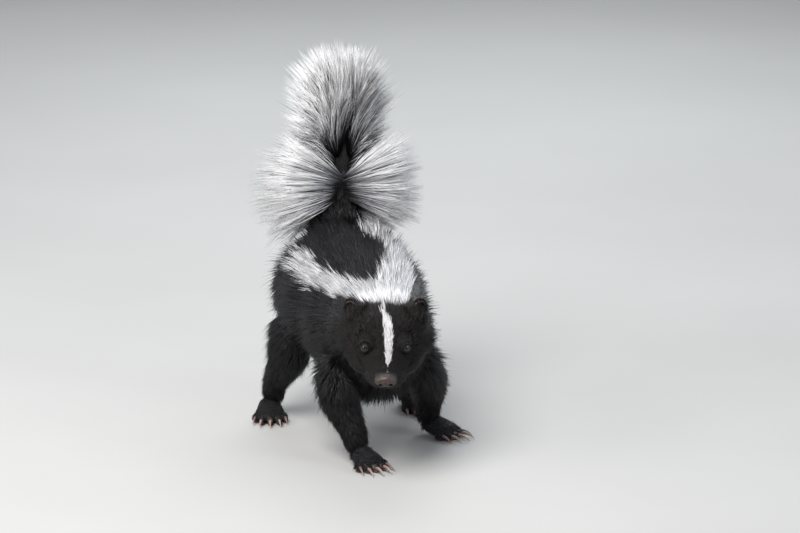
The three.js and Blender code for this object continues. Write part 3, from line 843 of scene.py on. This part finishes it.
headPieces = (("head", faceSkin, headCoat["hairs"], ("head",)), ("jaw", jawSkin, headCoat["jawHairs"], ("lower_jaw",)))
for name, skin, count, nodes in headPieces:
    roots = sampleRoots(skin, count, headDensity)
    roots = pick(roots, clearOfFace(roots["p"]))
    roots = pick(roots, ~insideOf(bodyRoom, roots["p"], toHead(roots["p"])[:, 1] > 44))
    lie, length, rise = headLie(roots["p"])
    width = np.clip(0.22 + length * 0.045, 0.24, 0.7)
    roots = dressHairs(roots, lie, rise, length, width, headCoat["curl"], headCoat["jitter"], 4, 0.25)
    roots["mark"] = marksFor(roots, faceWhite, lie, 0.4)
    pointValues(skin, "mark", faceWhite(coordsOf(skin)))
    finishPiece(f"skin_{name}", skin, underCoat, nodes)
    for part, chosen in enumerate(np.array_split(np.arange(len(length)), 2 if name == "head" else 1)):
        growCoat(f"coat_{name}_{part + 1}", pick(roots, chosen), faceFur, "black_fur", headCoat["levels"],
                 clump=headCoat["clump"], pull=headCoat["pull"], seed=40 + part)

# eyes and lids
sides = {"left": 1, "right": -1}
for word, side in sides.items():
    bm = bmesh.new()
    addBall(bm, eyeAt[side], (eyeShape["radius"],) * 3, headMatrix, 48, 32)
    finishPiece(f"eyeball_{word}", meshFrom(bm, f"eyeball_{word}"), eyeGloss, (f"eye_{word}",))

lid = {"opening": (2.1, 1.75), "outer": 3.75, "thick": 0.18, "lift": 0.12, "steps": 56,
       "hairs": 1900, "hair": 1.5, "hairWide": 0.24, "bare": 1.2, "levels": 2}
for word, side in sides.items():
    # a ring spun from a small circle, then laid over the ball with an almond opening
    bm = bmesh.new()
    standing = Matrix.Translation((2, 0, 0)) @ Matrix.Rotation(math.radians(90), 4, "X")
    bmesh.ops.create_circle(bm, segments=12, radius=0.5, matrix=standing)
    bmesh.ops.spin(bm, geom=bm.verts[:] + bm.edges[:], axis=(0, 0, 1), cent=(0, 0, 0), angle=math.tau,
                   steps=lid["steps"], use_merge=True)
    look = gaze[side]
    across = Vector((0, 0, 1)).cross(look).normalized()
    over = look.cross(across)
    inner = []
    for v in bm.verts:
        a = math.atan2(v.co.y, v.co.x)
        b = math.atan2(v.co.z, math.hypot(v.co.x, v.co.y) - 2)
        corner = 1 + 0.2 * abs(math.cos(a)) ** 6
        spot = across * (math.cos(a) * lid["opening"][0] * corner) + over * (math.sin(a) * lid["opening"][1])
        share = (1 + math.cos(b)) / 2
        flat = spot.normalized() * (spot.length + (lid["outer"] - spot.length) * share)
        ball = math.sqrt(eyeShape["radius"] ** 2 - min(flat.length, 3.25) ** 2) - 0.9 * max(0.0, flat.length - 3.25)
        height = ball + lid["lift"] + lid["thick"] * math.sin(b) * (1 - 0.3 * share)
        v.co = headMatrix @ (eyeAt[side] + flat + look * height)
        inner.append(max(0.0, 1 - share / 0.22))
    mesh = meshFrom(bm, f"lid_{word}")
    pointValues(mesh, "mark", inner)
    unwrap(mesh)
    roots = sampleRoots(mesh, lid["hairs"])
    off = fromEye(toHead(roots["p"]), side)[2]
    rim = np.hypot((off @ np.array(across)) / lid["opening"][0], (off @ np.array(over)) / lid["opening"][1])
    outer = roots["n"] @ headTurn @ np.array(look) > 0.1
    chosen = outer & (rim > lid["bare"])
    roots = pick(roots, chosen)
    roots = dressHairs(roots, off[chosen] @ headTurn.T, 20, lid["hair"], lid["hairWide"], 0.3, 8, 9, 0.1)
    finishPiece(f"lid_{word}", mesh, lidSkin, ())
    growCoat(f"coat_lid_{word}", roots, faceFur, "black_fur", lid["levels"], clump=4, pull=0.2, seed=52)

# nose pad
noseForm = {
    "stations": [((0, -2.2, 0.2), (3.6, 1.8, 2)), ((0, 0, 0.3), (6.2, 3.7, 3.4)),
                 ((0, 3, 0.6), (6.4, 3.8, 3.6)), ((0, 5.5, 0.8), (4.6, 2.6, 2.4))],
    "blunt": (0.25, 0.25),
}
bm = bmesh.new()
for v in addForm(bm, noseForm, 96, 64):
    x, y, z = v.co
    for side in (1, -1):
        # a comma: a round hole with a slit that runs out and up from it
        hole = math.hypot((x - side * 3.0) / 1.25, (z + 0.3) / 1.0)
        slit = math.hypot((x - side * 4.8) / 1.9, (z + 0.9) / 0.42)
        if y < 2.4:
            v.co.y += 2.3 * max(0.0, 1 - hole**2) ** 0.7 + 1.1 * max(0.0, 1 - slit**2) ** 0.8
            rim = math.exp(-((hole - 1.35) / 0.3) ** 2)
            v.co.y -= 0.22 * rim
    groove = math.exp(-(x / 0.38) ** 2) * (1 if z < 0.9 else max(0.0, 1 - (z - 0.9) / 1.0))
    if y < 1:
        v.co.y += 0.5 * groove
    v.co = headMatrix @ v.co
finishPiece("nose_pad", meshFrom(bm, "nose_pad"), noseSkin, ("nose",))

# ears
for word, side in sides.items():
    bm = bmesh.new()
    turn = Matrix.Rotation(math.radians(side * earShape["turn"]), 3, "Z")
    turn = turn @ Matrix.Rotation(math.radians(earShape["lean"]), 3, "X")
    for v in bmesh.ops.create_uvsphere(bm, u_segments=48, v_segments=32, radius=1)["verts"]:
        x, y, z = v.co
        # the front of the ball is pressed in to make the cup
        dish = max(0.0, 1 - (x / 0.78) ** 2 - ((z - 0.06) / 0.78) ** 2)
        if y < 0:
            y = y + dish**0.6 * 1.15
        v.co = turn @ Vector([a * b for a, b in zip((x, y, z), earShape["radii"])])
        v.co = headMatrix @ (v.co + Vector(earAt[side]))
    mesh = meshFrom(bm, f"ear_{word}_shell")
    own = (toHead(coordsOf(mesh)) - earAt[side]) @ np.array(turn)
    edge = np.hypot(own[:, 0] / earShape["radii"][0], own[:, 2] / earShape["radii"][2])
    # the upper rim of each ear is paler: partly the pinkish skin, partly a painted highlight where light catches the
    # top of the rim
    pointValues(mesh, "mark", 0.3 * smoothStep(0.78, 0.95, edge) * (own[:, 2] > 0) * (own[:, 1] < 0.9))
    unwrap(mesh)
    roots = sampleRoots(mesh, earShape["hairs"])
    own = (toHead(roots["p"]) - earAt[side]) @ np.array(turn)
    cup = (own[:, 1] < 0.2) & (np.hypot(own[:, 0] / 4.4, (own[:, 2] - 0.4) / 5.2) < 1)
    roots = pick(roots, ~(cup & (rng.random(len(cup)) > 0.12)))
    up = headTurn @ np.array([side * 0.35, 0.1, 1.0])
    roots = dressHairs(roots, up, 24, earShape["hair"], 0.3, 0.3, 14, 6, 0.2)
    finishPiece(f"ear_{word}_shell", mesh, pawSkin, (f"ear_{word}",))
    growCoat(f"coat_ear_{word}", roots, faceFur, "black_fur", 2, clump=5, pull=0.3, seed=50)

# whiskers
whisker = {"perSide": 9, "long": 16, "radius": 0.07}
bm = bmesh.new()
for side in (1, -1):
    for k in range(whisker["perSide"]):
        row, place = divmod(k, 3)
        base = np.array([side * (7.4 + place * 1.3), 6.5 + place * 2.4, -2.2 - row * 1.5])
        aim = [side * (0.9 + 0.1 * rng.random()), 0.5 + 0.25 * place + 0.2 * rng.random(), -0.2 * row + 0.15]
        aim = unit(np.array(aim))
        longer = whisker["long"] * (0.7 + 0.2 * place + 0.15 * rng.random())
        line = [base + aim * longer * u + np.array([0, 0.2, -0.22]) * longer * u * u for u in (0, 0.35, 0.7, 1)]
        addTube(bm, line, [whisker["radius"] * w for w in (1, 0.9, 0.6, 0.25)], 6, headMatrix)
finishPiece("whiskers", meshFrom(bm, "whiskers"), whiskerHorn, ())

# paws and claws
def footFrame(foot):
    return Matrix.Translation((*foot["heel"], 0)) @ Matrix.Rotation(math.radians(foot["heading"]), 4, "Z")


def inFoot(foot, p):
    return (p - np.array([*foot["heel"], 0])) @ np.array(footFrame(foot).inverted().to_3x3()).T


def toePoint(foot, across, d, z):
    fan = math.radians(toes["fan"] * across)
    return (across * foot["wide"] + math.sin(fan) * d, -foot["long"] * 0.55 - math.cos(fan) * d, z)


for name, foot in feet.items():
    where = footFrame(foot)
    long, wide, high, pad = foot["long"], foot["wide"], foot["high"], toes["pad"]
    sole = {
        "stations": [((0, 0, high * 0.5), (wide * 0.72, high * 0.6, high * 0.5 + pad)),
                     ((0, -long * 0.3, high * 0.62), (wide * 0.86, high * 0.75, high * 0.62 + pad)),
                     ((0, -long * 0.62, high * 0.5), (wide, high * 0.5, high * 0.5 + pad)),
                     ((0, -long * 0.85, high * 0.36), (wide * 0.8, high * 0.34, high * 0.36 + pad))],
        "blunt": (0.3, 0.4),
    }
    bm = bmesh.new()
    made = addForm(bm, sole, 40, 32, lambda t: -1.6 * smoothStep(0.95, 0.3, t), where)
    ends = [(across, long * (reach - 0.55)) for across, reach in zip(toes["spread"], toes["reach"])]
    for across, tip in ends:
        toe = {"stations": [(toePoint(foot, across, 0, 3.4), (2.2, 2.6, 3.9)),
                            (toePoint(foot, across, tip * 0.6, 3), (2.3, 2.3, 3.6)),
                            (toePoint(foot, across, tip, 2.2), (1.9, 1.9, 2.8))], "blunt": (0.3, 0.4)}
        made += addForm(bm, toe, 20, 16, -0.2, where)
    for v in made:
        v.co.z = max(v.co.z, 0.0)
    paw = relaxedSkin(bm, f"paw_{name}", 0.55, 3)
    co = coordsOf(paw)
    co[:, 2] = np.where(co[:, 2] < 0.5, np.maximum(co[:, 2] - 0.35, 0.0), co[:, 2])
    paw.vertices.foreach_set("co", co.ravel())
    paw.update()
    unwrap(paw)
    roots = sampleRoots(paw, toes["hairs"])
    own = inFoot(foot, roots["p"])
    # the top and sides are furred, the toe tips and the sole are bare
    bare = (own[:, 1] < -long * 0.86) & (rng.random(len(own)) < smoothStep(-long * 0.86, -long, own[:, 1]))
    roots = pick(roots, (roots["n"][:, 2] > -0.25) & (roots["p"][:, 2] > 0.9) & ~bare)
    forward = np.array(where.to_3x3()) @ np.array([0, -1.0, -0.12])
    length = tableAt(toes["fur"], -inFoot(foot, roots["p"])[:, 1] / long)
    roots = dressHairs(roots, forward, 17, length, 0.3 + length * 0.06, 0.4, 12, 8, 0.2)
    skinOwn = inFoot(foot, coordsOf(paw))
    tips = smoothStep(-long * 0.84, -long * 0.94, skinOwn[:, 1])
    pointValues(paw, "mark", np.maximum(tips, smoothStep(1.6, 0.6, skinOwn[:, 2])))
    finishPiece(f"paw_{name}", paw, pawSkin, (f"{name}_foot",))
    growCoat(f"coat_paw_{name}", roots, bodyFur, "black_fur", 2, clump=5, pull=0.3, seed=60)
    bm = bmesh.new()
    claw = foot["claw"]
    for across, tip in ends:
        nail = {"stations": [(toePoint(foot, across, tip - 2.2, 3.2), (0.95, 1.1, 1.1)),
                             (toePoint(foot, across, tip + claw * 0.2, 3.5), (0.78, 1.0, 1.0)),
                             (toePoint(foot, across, tip + claw * 0.6, 2.8), (0.5, 0.7, 0.65)),
                             (toePoint(foot, across, tip + claw, 1.0), (0.13, 0.17, 0.17))],
                "blunt": (0.2, 0.06)}
        for v in addForm(bm, nail, 16, 20, 0.0, where):
            v.co.z = max(v.co.z, 0.1)
    mesh = meshFrom(bm, f"claws_{name}")
    pointValues(mesh, "along", np.clip((-inFoot(foot, coordsOf(mesh))[:, 1] - long * 0.8) / (claw + 3), 0, 1))
    finishPiece(f"claws_{name}", mesh, clawHorn, [f"{name}_claw_{k}" for k in range(1, 6)])
print("paws done")

# plume of the tail
plume = {
    "hairs": 19000, "width": 0.55, "clump": 12, "pull": 0.66, "depth": 0.68, "silver": 0.82, "top": 241.5,
    # share of the way up the tail, degrees above level, length, degrees of the front left bare
    "rows": [(0.03, -16, 39, 120), (0.10, -9, 47, 110), (0.19, 2, 52, 90), (0.29, 15, 55, 70),
             (0.36, 26, 53, 56), (0.42, 36, 45, 50), (0.48, 43, 48, 36), (0.56, 46, 54, 10),
             (0.66, 50, 57, 0), (0.78, 59, 56, 0), (0.88, 72, 50, 0), (0.97, 82, 44, 0)],
    "veil": {"hairs": 2900, "t": (0.17, 0.36), "tilt": (-18, 40), "length": 53},
}
plumeLine = [(3, 130, 124), (4, 132, 140), (6, 131, 160), (7, 128, 181), (8, 125, 200)]


def joinRoots(groups):
    return {key: np.concatenate([group[key] for group in groups]) for key in groups[0]}


def plumeRoots(count):
    t = 0.03 + 0.94 * ((np.arange(count) + rng.random(count)) / count)
    gap = tableAt(plume["rows"], t, 3)
    share = rng.random(count)
    turn = np.radians(-90 + gap / 2 + (360 - gap) * share)
    depth = np.where(np.sin(turn) < 0, 0.52, plume["depth"])
    outward = np.stack([np.cos(turn), np.sin(turn) * depth, np.zeros(count)], 1)
    centre = curvePoint(plumeLine, t)
    tilt = tableAt(plume["rows"], t, 1)
    # hair in front of the upper tail stands nearly upright
    front = np.clip((-np.sin(turn) - 0.3) / 0.7, 0, 1) * smoothStep(0.38, 0.5, t)
    loose = rng.normal(0, 1, count) * (6 + 2 * smoothStep(0.7, 1.0, t))
    tilt = np.radians(tilt + 0.85 * front * (83 - tilt) + loose)
    length = tableAt(plume["rows"], t, 2) * (0.62 + 0.44 * rng.random(count) ** 0.8)
    length = length * (1 + 0.14 * wander(centre + outward * 30, 12, 6))
    # the top stays ragged under one level
    room = plume["top"] - 9 * rng.random(count) ** 1.5 - centre[:, 2]
    length = np.minimum(length, room / np.maximum(np.sin(tilt) * 0.97, 0.2))
    heading = outward * np.cos(tilt)[:, None] + upward * np.sin(tilt)[:, None]
    across = np.stack([-np.sin(turn), np.cos(turn), np.zeros(count)], 1)
    swing = wander(centre + outward * 20, 9, 4) * 0.18 + rng.normal(0, 0.05, count)
    heading = heading + across * swing[:, None]
    sway = 0.10 * wander(centre + outward * 24, 8, 9) + rng.normal(0, 0.06, count)
    silver = plume["silver"] * (1 - 0.55 * np.exp(-((t - 0.44) / 0.05) ** 2))  # less in the notch
    return {
        "p": centre + unit(outward) * (4.0 + 4.2 * front)[:, None], "n": unit(outward),
        "uv": np.stack([share, t], 1) * 0.96 + 0.02, "heading": heading,
        "bend": upward * np.minimum(rng.normal(-0.14, 0.08, count), -0.03)[:, None] + across * sway[:, None],
        "length": length,
        "width": plume["width"] * (0.65 + 0.5 * rng.random(count)), "sink": np.full(count, 2.0),
        "face": across + upward * np.where(rng.random(count) > 0.5, 0.9, -0.9)[:, None],
        "mark": (rng.random(count) < silver) * (0.8 + 0.2 * rng.random(count)),
        "early": 0.3 * smoothStep(0.2, 0.3, t) * smoothStep(0.45, 0.35, t) * rng.random(count),
        "toneAndShade": 0.2 + 0.8 * rng.random(count),
    }


def veilRoots(facts):
    # white hair that sweeps to both sides from a parting in front
    count = facts["hairs"]
    rise = rng.random(count)
    t = facts["t"][0] + (facts["t"][1] - facts["t"][0]) * rise
    side = np.where(rng.random(count) > 0.5, 1.0, -1.0)
    off = side * np.abs(rng.normal(0, 2.2, count))
    centre = curvePoint(plumeLine, t)
    root = centre + np.stack([off, -12.0 + 0.12 * off**2, np.zeros(count)], 1)
    low, high = facts["tilt"]
    tilt = np.radians(low + (high - low) * rise + rng.normal(0, 6, count))
    heading = np.stack([side * np.cos(tilt) * 0.95, -0.36 + 0.12 * rng.normal(0, 1, count), np.sin(tilt)], 1)
    ahead = np.tile(-backward, (count, 1))
    return {
        "p": root, "n": ahead, "uv": np.stack([0.5 + off / 60, t], 1) * 0.96 + 0.02, "heading": heading,
        "bend": np.stack([side * 0.02, np.full(count, 0.26), rng.normal(-0.08, 0.05, count)], 1),
        "length": facts["length"] * (0.6 + 0.45 * rng.random(count)),
        "width": plume["width"] * (0.6 + 0.5 * rng.random(count)), "sink": np.full(count, 1.5),
        "face": ahead, "mark": (rng.random(count) < 0.93) * (0.85 + 0.15 * rng.random(count)),
        "early": (0.25 + 0.75 * rise) * (0.6 + 0.4 * rng.random(count)), "toneAndShade": 0.4 + 0.6 * rng.random(count),
    }


roots = joinRoots([plumeRoots(plume["hairs"]), veilRoots(plume["veil"])])
bundles = np.array_split(np.arange(len(roots["toneAndShade"])), 2)
for k, chosen in enumerate(bundles):
    growCoat(f"coat_plume_{k + 1}", pick(roots, chosen), tailFur, "tail_fur", 3,
             ("tail_plume",) if k == 0 else (), clump=plume["clump"], pull=plume["pull"], seed=70 + k)
print("plume done")

# floor, lights and camera
studio = {
    "floor": 12.0, "sky": (0.86, 0.89, 0.95, 1), "skyStrength": 0.5,
    "target": (11.35, -2.83, 120.6), "distance": 3000, "azimuth": 14, "elevation": 15, "focal": 4860,
    # place in mm, size in m, power in W, colour
    "lights": {
        "keyLight": ((-500, -400, 1100), 0.8, 21, (1.0, 0.98, 0.95)),
        "fillLight": ((1000, -700, 600), 0.5, 4, (0.93, 0.96, 1.0)),
        "sideLight": ((-1000, -95, 540), 0.5, 4, (1.0, 0.98, 0.96)),
        "rimLight": ((300, 1000, 900), 0.8, 10, (0.93, 0.97, 1.0)),
    },
}


def toPlace(p):
    return (Vector(p) + Vector(shift.tolist())) * mm


bm = bmesh.new()
bmesh.ops.create_grid(bm, x_segments=1, y_segments=1, size=studio["floor"] / 2)
floorMesh = bpy.data.meshes.new("floor")
bm.to_mesh(floorMesh)
bm.free()
floor = addObject("floor", floorMesh)
floorMaterial, tree, shader = newMaterial("paleFloor")
setLook(tree, shader, patchy(tree, objectNoise(tree, 3), (0.37, 0.37, 0.365), (0.40, 0.40, 0.395)), 0.85)
floorMesh.materials.append(floorMaterial)

world = bpy.data.worlds.new("studio")
bpy.context.scene.world = world
world.use_nodes = True
background = world.node_tree.nodes["Background"].inputs
background["Color"].default_value = studio["sky"]
background["Strength"].default_value = studio["skyStrength"]

for name, (place, size, power, colour) in studio["lights"].items():
    light = bpy.data.lights.new(name, "AREA")
    light.shape = "DISK"
    light.size = size
    light.energy = power
    light.color = colour
    lamp = addObject(name, light)
    lamp.location = toPlace(place)
    lamp.rotation_euler = (toPlace((0, 30, 90)) - lamp.location).to_track_quat("-Z", "Y").to_euler()

camera = addObject("camera", bpy.data.cameras.new("camera"))
azimuth, elevation = math.radians(studio["azimuth"]), math.radians(studio["elevation"])
back = Vector((-math.sin(azimuth), -math.cos(azimuth), 0)) * math.cos(elevation)
back.z = math.sin(elevation)
camera.location = toPlace(Vector(studio["target"]) + back * studio["distance"])
camera.rotation_euler = (-back).to_track_quat("-Z", "Y").to_euler()
camera.data.sensor_width = 36
camera.data.lens = studio["focal"] / 800 * 36
camera.data.clip_end = 50
bpy.context.scene.camera = camera
bpy.context.scene.view_settings.view_transform = "Standard"
